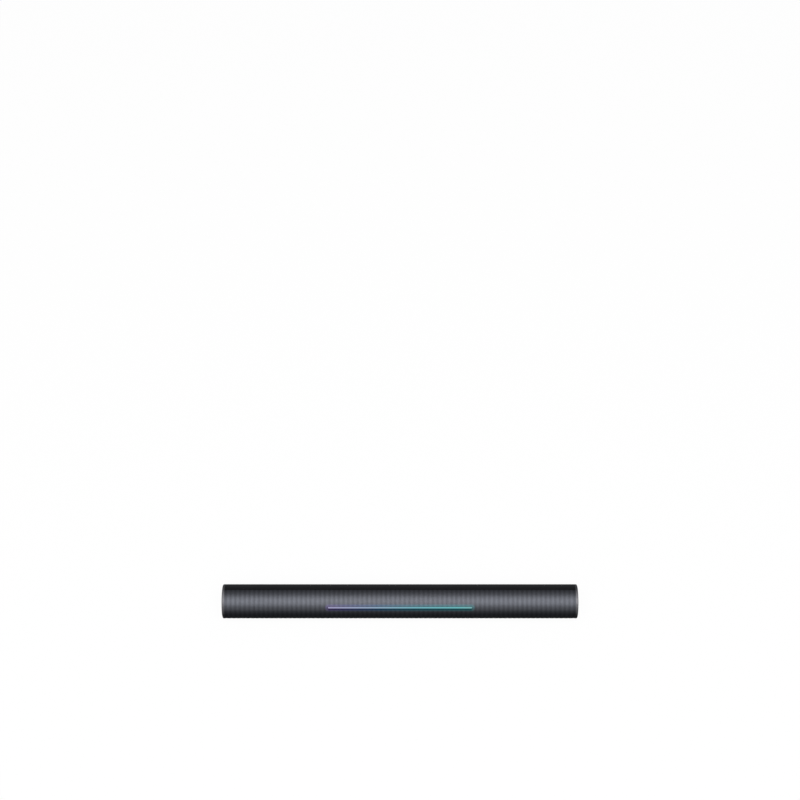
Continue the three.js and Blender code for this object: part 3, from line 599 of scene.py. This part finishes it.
def neck_bracket():
    """A flat pad at the back, on a foot that stands on the steel plate inside."""
    low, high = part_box("neck_bracket")
    foot_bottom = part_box("steel_plate")[0].z + PLATE_THICKNESS + SEAT_GAP
    foot_top = foot_bottom + BRACKET_FOOT
    front = high.y - BRACKET_WALL
    profile = [
        (high.y, low.z),
        (high.y, high.z),
        (front, high.z),
        (front, foot_top),
        (low.y, foot_top),
        (low.y, foot_bottom),
        (front, foot_bottom),
        (front, low.z),
    ]
    outline = [(y, z - AXIS) for y, z in profile]
    piece = prism("column_bracket", outline, low.x, high.x, along_bar)
    middle, size = middle_and_size("neck_connector")
    tools = []
    for x in (-THREAD_PLACE, THREAD_PLACE):
        hole = polygon(THREAD_RADIUS, 36)
        tools.append(prism("hole", hole, 0, THROUGH, backwards(x, middle.z)))
    opening = rounded_rectangle(size.x + 2 * SEAT_GAP, size.z + 2 * SEAT_GAP, 0.8 * MM)
    tools.append(prism("opening", opening, 0, THROUGH, backwards(0, middle.z)))
    carved(piece, *tools)
    rounded_edges(piece, 0.3 * MM)
    return smooth_with_flats(piece)


def neck_connector():
    """The contact block's body and its plated contacts."""
    low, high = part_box("neck_connector")
    middle, size = middle_and_size("neck_connector")
    body_face = high.y - 0.4 * MM
    outline = rounded_rectangle(size.x, size.z, 0.6 * MM)
    body = prism("contact_block", outline, low.y, body_face, backwards(0, middle.z))
    rounded_edges(body, 0.2 * MM)
    smooth_with_flats(body)
    count = 6
    pitch = 2 * MM
    outline = rounded_rectangle(1.2 * MM, size.z - 2.4 * MM, 0.3 * MM, 4)
    contacts = []
    for i in range(count):
        place = backwards((i - (count - 1) / 2) * pitch, middle.z)
        contact = prism(f"plated_contact_{i + 1}", outline, high.y - 2 * MM, high.y, place)
        rounded_edges(contact, 0.1 * MM)
        contacts.append(smooth_with_flats(contact))
    return body, contacts


# Node helpers


class Nodes:
    """A material, and short ways to add and join its nodes."""

    def __init__(self, name):
        self.material = bpy.data.materials.new(name)
        self.material.use_nodes = True
        self.tree = self.material.node_tree

    def node(self, kind, **settings):
        """A node. Each setting is one of its sockets, or else one of its properties."""
        made = self.tree.nodes.new(kind)
        for key, value in settings.items():
            if key in made.inputs:
                made.inputs[key].default_value = value
            else:
                setattr(made, key, value)
        return made

    def link(self, source, target):
        self.tree.links.new(source, target)

    def maths(self, operation, first, second=0.0):
        made = self.node("ShaderNodeMath", operation=operation)
        for socket, value in zip(made.inputs, (first, second)):
            if isinstance(value, (int, float)):
                socket.default_value = value
            else:
                self.link(value, socket)
        return made.outputs[0]

    def plus(self, first, second):
        return self.maths("ADD", first, second)

    def minus(self, first, second):
        return self.maths("SUBTRACT", first, second)

    def times(self, first, second):
        return self.maths("MULTIPLY", first, second)

    def larger(self, first, second):
        return self.maths("MAXIMUM", first, second)


class Finish(Nodes):
    """A material round one Principled shader."""

    def __init__(self, name, colour, roughness, metallic=0.0):
        super().__init__(name)
        self.shader = self.tree.nodes["Principled BSDF"]
        self.plain("Base Color", (*colour, 1))
        self.plain("Roughness", roughness)
        self.plain("Metallic", metallic)

    def plain(self, socket, value):
        """Sets a socket of the shader to one value."""
        self.shader.inputs[socket].default_value = value

    def feed(self, source, socket):
        """Joins a node's output to a socket of the shader."""
        self.link(source, self.shader.inputs[socket])

    def position(self):
        return self.node("ShaderNodeTexCoord").outputs["Object"]

    def noise(self, scale, detail):
        noise = self.node("ShaderNodeTexNoise", Scale=scale, Detail=detail)
        self.link(self.position(), noise.inputs["Vector"])
        return noise.outputs["Fac"]

    def ranged(self, value, low, high, start=0.0, end=1.0):
        """A value that goes from low to high while another goes from start to end."""
        limits = {"From Min": start, "From Max": end, "To Min": low, "To Max": high}
        remap = self.node("ShaderNodeMapRange", **limits)
        self.link(value, remap.inputs["Value"])
        return remap.outputs["Result"]

    def mixed(self, value, first, second):
        """A colour between two, by a value."""
        mix = self.node("ShaderNodeMix", data_type="RGBA")
        mix.inputs["A"].default_value = (*first, 1)
        mix.inputs["B"].default_value = (*second, 1)
        self.link(value, mix.inputs["Factor"])
        return mix.outputs["Result"]

    def shaded(self, colour, shade):
        """A colour times a grey value."""
        mix = self.node("ShaderNodeMix", data_type="RGBA", blend_type="MULTIPLY")
        mix.inputs["Factor"].default_value = 1
        self.link(colour, mix.inputs["A"])
        self.link(shade, mix.inputs["B"])
        return mix.outputs["Result"]

    def ramped(self, value, start, end, stops):
        """A colour that changes with a value. stops are (value, colour), from the start to the end."""
        ramp = self.node("ShaderNodeValToRGB")
        elements = ramp.color_ramp.elements
        while len(elements) < len(stops):
            elements.new(0.5)
        for element, (place, colour) in zip(elements, stops):
            element.position = (place - start) / (end - start)
            element.color = (*colour, 1)
        self.link(self.ranged(value, 0, 1, start, end), ramp.inputs["Fac"])
        return ramp.outputs["Color"]

    def roughness(self, noise, low, high):
        self.feed(self.ranged(noise, low, high, 0.3, 0.7), "Roughness")

    def bump(self, height, strength, distance):
        bump = self.node("ShaderNodeBump", Strength=strength, Distance=distance)
        self.link(height, bump.inputs["Height"])
        self.feed(bump.outputs["Normal"], "Normal")

    def surface(self, roughness, grain):
        """Slight changes of gloss, and a fine grain."""
        gloss = self.noise(COARSE, 3)
        self.roughness(gloss, roughness - GLOSS_CHANGE, roughness + GLOSS_CHANGE)
        self.bump(self.noise(grain, 2), GRAIN_STRENGTH, GRAIN_DEPTH)


# Patterns of the bar, and its painted light and shade


def round_the_bar(made):
    """Where each point is along the bar, and its angle in radians, from -90 degrees up to 270."""
    split = made.node("ShaderNodeSeparateXYZ")
    made.link(made.position(), split.inputs[0])
    x, y, z = split.outputs
    past_top = made.maths("ARCTAN2", y, made.minus(z, AXIS))
    return x, made.plus(past_top, math.pi / 2)


def round_painted_light(made, angle, tones):
    """Painted light and shade: a grey value that changes with the angle round the bar. tones are
    (degrees, value).
    """
    stops = [(math.radians(place), (painted_tone, painted_tone, painted_tone)) for place, painted_tone in tones]
    return made.ramped(angle, math.radians(-90), math.radians(270), stops)


def strip_colours(made, x):
    """The strip's light along the bar."""
    half = STRIP_LENGTH / 2
    return made.ramped(x, -half, half, [(half * place, colour) for place, colour in STRIP_LIGHT])


def across_strip(made, angle):
    """The distance above the middle of the strip, round the bar."""
    return made.times(made.minus(angle, math.radians(STRIP_ANGLE)), RADIUS)


def past_strip_end(made, x):
    """How far a point is past the straight part of the strip, along the bar."""
    half = (STRIP_LENGTH - STRIP_HEIGHT) / 2
    return made.larger(made.minus(made.maths("ABSOLUTE", x), half), 0)


def painted_glow(made, x, across):
    """Painted glow: the strip's light painted as emission on the mesh round it. It is deeper in colour
    than the lens.
    """
    along = made.maths("POWER", past_strip_end(made, x), 2)
    distance = made.maths("SQRT", made.plus(made.maths("POWER", across, 2), along))
    near = made.ranged(distance, 1, 0, PAINTED_GLOW_FROM, PAINTED_GLOW_TO)
    share = made.ranged(across, PAINTED_GLOW_BELOW, PAINTED_GLOW_ABOVE, -STRIP_HEIGHT / 2, STRIP_HEIGHT / 2)
    deep = made.node("ShaderNodeHueSaturation", Hue=PAINTED_GLOW_HUE, Saturation=PAINTED_GLOW_SATURATION)
    made.link(strip_colours(made, x), deep.inputs["Color"])
    made.feed(made.shaded(deep.outputs["Color"], made.times(near, share)), "Emission Color")
    made.plain("Emission Strength", 1)


def lip_painted_shade(made, x, across):
    """Painted shade: the mesh is darker along the strip's lower side, as in the photograph."""
    under = made.ranged(made.times(across, -1), 1 - LIP_PAINTED_SHADE, 0, LIP_FROM, LIP_TO)
    below = made.maths("LESS_THAN", across, 0)
    beside = made.ranged(past_strip_end(made, x), 1, 0, 0, STRIP_HEIGHT)
    return made.minus(1, made.times(made.times(under, below), beside))


# Materials


def grille_finish():
    """Dark anodised acoustic mesh with fine holes in rows. It has painted shade in the valleys between
    the ribs and a painted highlight on their crests, a painted highlight high on the front, and painted
    shade towards the lower front and towards the upper seam."""
    made = Finish("ribbed_mesh", MESH_COLOUR, 0.53, 1.0)
    made.plain("Specular Tint", EDGE_TINT)
    x, angle = round_the_bar(made)
    around = made.times(angle, RADIUS)
    rows = made.maths("SINE", made.times(around, 2 * math.pi / HOLE_ROW_PITCH))
    columns = made.maths("SINE", made.times(x, 2 * math.pi * HOLES_PER_RIB / RIB_PITCH))
    weave = made.times(rows, columns)
    mesh = made.mixed(made.ranged(weave, 0, 1, 0.2, 0.7), MESH_COLOUR, HOLE_COLOUR)
    # Painted shade in the valleys between the ribs and a painted highlight on their crests
    valley = made.maths("COSINE", made.times(x, 2 * math.pi / RIB_PITCH))
    ribs = made.ranged(valley, 1 + RIB_PAINTED_SHADE, 1 - RIB_PAINTED_SHADE, -1, 1)
    across = across_strip(made, angle)
    # Painted light and shade round the bar, and painted shade along the strip's lower side
    painted_tone = made.times(ribs, round_painted_light(made, angle, MESH_PAINTED_LIGHT))
    painted_tone = made.times(painted_tone, lip_painted_shade(made, x, across))
    made.feed(made.shaded(mesh, painted_tone), "Base Color")
    painted_glow(made, x, across)
    made.roughness(made.noise(WOVEN, 2), 0.5, 0.57)
    made.bump(weave, 0.15, 0.05 * MM)
    return made.material


def metal_coat(name, colour, change, roughness, grain, tones):
    """Dark metal, a little mottled, with painted light and shade that change with the angle round the
    bar.
    """
    made = Finish(name, colour, roughness, 1.0)
    made.plain("Specular Tint", EDGE_TINT)
    darker = [value - change for value in colour]
    lighter = [value + change for value in colour]
    mottled = made.mixed(made.noise(MOTTLED, 3), darker, lighter)
    # Painted light and shade round the bar
    painted_tone = round_painted_light(made, round_the_bar(made)[1], tones)
    made.feed(made.shaded(mottled, painted_tone), "Base Color")
    made.surface(roughness, grain)
    return made.material


def lens_finish():
    """Milky lens lit from behind, a little weaker along its lower edge."""
    made = Finish("lit_lens", (0.01, 0.011, 0.012), 0.6)
    made.plain("Specular IOR Level", 0.25)
    x, angle = round_the_bar(made)
    share = made.ranged(across_strip(made, angle), LENS_LOW, 1, -STRIP_HEIGHT / 2, 0)
    made.feed(made.shaded(strip_colours(made, x), share), "Emission Color")
    made.plain("Emission Strength", 1)
    return made.material


def satin(name, colour, roughness, metallic=0.0):
    """Moulded or coated surface with a fine grain and slight changes of gloss."""
    made = Finish(name, colour, roughness, metallic)
    made.surface(roughness, GRAINED)
    return made.material


FINISHES = {
    "grille": grille_finish(),
    "housing": metal_coat("housing_coat", (0.034, 0.0345, 0.0375), 0.001, 0.45, GRAINED, HOUSING_PAINTED_SHADE),
    "rim": metal_coat("rim_metal", (0.27, 0.268, 0.286), 0.008, 0.6, BLASTED, RIM_PAINTED_LIGHT),
    "end_cap": satin("cap_coat", (0.034, 0.034, 0.037), 0.4, 1.0),
    "rubber": satin("foot_rubber", (0.012, 0.012, 0.012), 0.75),
    "lens": lens_finish(),
    "light_guide": satin("clear_guide", (0.8, 0.85, 0.88), 0.15),
    "board": satin("board_lacquer", (0.01, 0.045, 0.02), 0.45),
    "film": satin("sensor_film", (0.35, 0.16, 0.03), 0.4),
    "spider_cloth": satin("spider_cloth", (0.5, 0.33, 0.1), 0.85),
    "foam": satin("gasket_foam", (0.01, 0.01, 0.01), 0.95),
    "cone": satin("cone_paper", (0.02, 0.021, 0.024), 0.7),
    "lead": satin("lead_sleeve", (0.25, 0.015, 0.012), 0.5),
    "contact_block": satin("block_plastic", (0.012, 0.012, 0.013), 0.5),
    "screw": satin("screw_zinc", (0.12, 0.12, 0.125), 0.35, 1.0),
    "bracket": satin("bracket_coat", (0.06, 0.06, 0.065), 0.42, 1.0),
    "steel": satin("bare_steel", (0.45, 0.45, 0.46), 0.35, 1.0),
    "inner_plastic": satin("inner_plastic", (0.012, 0.012, 0.013), 0.6),
}
GOLD = satin("contact_gold", (0.8, 0.55, 0.2), 0.25, 1.0)


# Finish, body and node of each piece


def coat(obj, material):
    obj.data.materials.clear()
    obj.data.materials.append(material)


def dress(piece, slot, *nodes):
    """Gives a piece its finish and its body, and hides the nodes that it stands for."""
    coat(piece, FINISHES[slot])
    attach(piece, "bar")
    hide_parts(*nodes)


dress(front_grille(), "grille", "front_grille")
dress(rear_housing(), "housing", "rear_housing")
dress(base_cover(), "housing", "base_cover")
for number, name in enumerate(feet, 1):
    dress(foot(number, name), "rubber", name)
for number, name in enumerate(cover_screws, 1):
    dress(cover_screw(number, name), "screw", name)
for sign, end in ((-1, "left"), (1, "right")):
    dress(end_rim(sign, end), "rim", f"{end}_end_rim")
    dress(end_cap(sign, end), "end_cap", f"{end}_end_cap")
dress(strip_bezel(), "inner_plastic", "strip_bezel")
dress(strip_lens(), "lens", "strip_lens")
dress(neck_bracket(), "bracket", "neck_bracket")
block, plated = neck_connector()
dress(block, "contact_block", "neck_connector")
for contact in plated:
    dress(contact, "contact_block")
    coat(contact, GOLD)

# Slots of the CAD nodes that stay, by the first of these words that is in a node's name
INNER_SLOTS = {
    "speaker_box": "inner_plastic",
    "baffle_screw": "screw",
    "baffle": "inner_plastic",
    "front_frame": "inner_plastic",
    "gasket": "foam",
    "basket": "steel",
    "surround": "rubber",
    "cone": "cone",
    "spider": "spider_cloth",
    "magnet": "steel",
    "light_guide": "light_guide",
    "board": "board",
    "sensor": "film",
    "cable": "film",
    "steel_plate": "steel",
    "bracket_screw": "screw",
    "lead": "lead",
}
for name, node in frame["nodes"].items():
    if not node.hide_render:
        slot = next(slot for word, slot in INNER_SLOTS.items() if word in name)
        coat(node, FINISHES[slot])
        smooth(node)


# Camera, floor, world and light


def camera():
    """The photograph's view."""
    data = bpy.data.cameras.new("camera")
    data.lens = CAMERA_LENS
    data.sensor_width = SENSOR
    obj = link("camera", data)
    obj.location = (0, -CAMERA_IN_FRONT, AXIS + CAMERA_ABOVE)
    obj.rotation_euler = (math.radians(90 - CAMERA_DOWN), 0, 0)
    bpy.context.scene.camera = obj


def floor_finish():
    """Camera, glossy and transmission rays see mostly plain white. The rest is lit, so the object's
    shadow shows. Seen from below, the floor is clear."""
    made = Nodes("pale_floor")
    made.tree.nodes.clear()
    rays = made.node("ShaderNodeLightPath").outputs
    seen = made.larger(rays["Is Camera Ray"], rays["Is Glossy Ray"])
    seen = made.larger(seen, rays["Is Transmission Ray"])
    lit = made.node("ShaderNodeBsdfDiffuse", Color=FLOOR_COLOUR)
    white = made.node("ShaderNodeEmission", Strength=1.0)
    top = made.node("ShaderNodeMixShader")
    made.link(made.times(seen, FLOOR_WHITE), top.inputs["Fac"])
    made.link(lit.outputs[0], top.inputs[1])
    made.link(white.outputs[0], top.inputs[2])
    below = made.node("ShaderNodeNewGeometry").outputs["Backfacing"]
    clear = made.node("ShaderNodeBsdfTransparent")
    sides = made.node("ShaderNodeMixShader")
    made.link(below, sides.inputs["Fac"])
    made.link(top.outputs[0], sides.inputs[1])
    made.link(clear.outputs[0], sides.inputs[2])
    out = made.node("ShaderNodeOutputMaterial")
    made.link(sides.outputs[0], out.inputs["Surface"])
    return made.material


def floor():
    """A round white floor that turns up into a low backdrop."""
    profile = arc(FLOOR_BEND, -90, 0, 12, (FLOOR_RADIUS, FLOOR_BEND))
    profile.append((FLOOR_RADIUS + FLOOR_BEND, FLOOR_BEND + BACKDROP))
    steps = 96
    turns = [2 * math.pi * k / steps for k in range(steps)]
    points = [(r * math.cos(turn), r * math.sin(turn), z) for r, z in profile for turn in turns]
    faces = [tuple(range(steps))]
    for ring in range(len(profile) - 1):
        here = ring * steps
        for k in range(steps):
            n = (k + 1) % steps
            faces.append((here + k, here + steps + k, here + steps + n, here + n))
    obj = link("floor", mesh_from("floor", points, faces))
    coat(obj, floor_finish())


def world():
    made = bpy.data.worlds.new("studio")
    made.use_nodes = True
    background = made.node_tree.nodes["Background"]
    background.inputs["Color"].default_value = WORLD_COLOUR
    background.inputs["Strength"].default_value = 1.0
    bpy.context.scene.world = made


def key_light():
    """One wide soft rectangle that faces the bar from above its front."""
    data = bpy.data.lights.new("key", "AREA")
    data.shape = "RECTANGLE"
    data.size = KEY_WIDTH
    data.size_y = KEY_HEIGHT
    data.energy = KEY_POWER * KEY_WIDTH * KEY_HEIGHT
    obj = link("key", data)
    elevation = math.radians(KEY_ELEVATION)
    away = Vector((0, -math.cos(elevation), math.sin(elevation)))
    obj.location = Vector((0, 0, AXIS)) + away * KEY_DISTANCE
    obj.rotation_mode = "QUATERNION"
    obj.rotation_quaternion = (-away).to_track_quat("-Z", "Y")


camera()
floor()
world()
key_light()

bpy.context.scene.view_settings.view_transform = "Standard"
